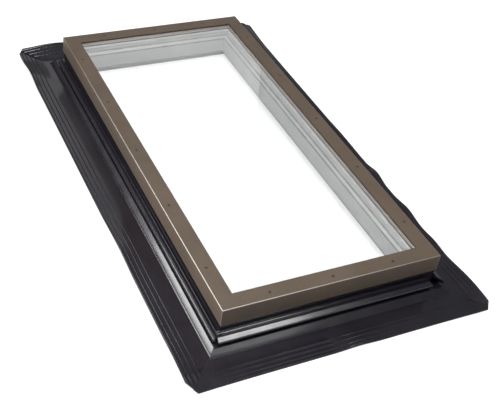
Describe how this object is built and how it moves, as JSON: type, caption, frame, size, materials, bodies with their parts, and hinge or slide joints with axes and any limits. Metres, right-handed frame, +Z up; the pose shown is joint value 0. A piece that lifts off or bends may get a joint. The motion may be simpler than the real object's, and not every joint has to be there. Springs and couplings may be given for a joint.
{
  "type": "roof skylight",
  "caption": "Fixed double glazed roof skylight with a bronze cap frame, white curb frame and black ribbed flashing apron.",
  "frame": {"origin": "centre of the underside, on the plane that lies on the roof deck", "axes": "+Z up out of the roof, +Y along the long side, +X along the short side"},
  "size_m": [0.8366, 1.4666, 0.114],
  "materials": {
    "cap_paint": "satin",
    "screw_paint": "satin",
    "key_metal": "matte",
    "black_rubber": "matte",
    "outer_glass": "gloss",
    "inner_glass": "gloss",
    "spacer_metal": "satin",
    "edge_sealant": "matte",
    "block_rubber": "matte",
    "white_plastic": "satin",
    "black_plastic": "satin"
  },
  "bodies": {
    "root": {"cap_corner_key_far_left": "key_metal", "cap_corner_key_far_right": "key_metal", "cap_corner_key_near_left": "key_metal", "cap_corner_key_near_right": "key_metal", "cap_gasket_far": "black_rubber", "cap_gasket_left": "black_rubber", "cap_gasket_near": "black_rubber", "cap_gasket_right": "black_rubber", "cap_rail_far": "cap_paint", "cap_rail_left": "cap_paint", "cap_rail_near": "cap_paint", "cap_rail_right": "cap_paint", "cap_screws_far": "screw_paint", "cap_screws_left": "screw_paint", "cap_screws_near": "screw_paint", "cap_screws_right": "screw_paint", "curb_member_far": "white_plastic", "curb_member_left": "white_plastic", "curb_member_near": "white_plastic", "curb_member_right": "white_plastic", "edge_seal": "edge_sealant", "flashing_member_far": "black_plastic", "flashing_member_left": "black_plastic", "flashing_member_near": "black_plastic", "flashing_member_right": "black_plastic", "glazing_tape_far": "black_rubber", "glazing_tape_left": "black_rubber", "glazing_tape_near": "black_rubber", "glazing_tape_right": "black_rubber", "inner_pane": "inner_glass", "outer_pane": "outer_glass", "setting_blocks": "block_rubber", "spacer_frame": "spacer_metal"}
  },
  "joints": []
}
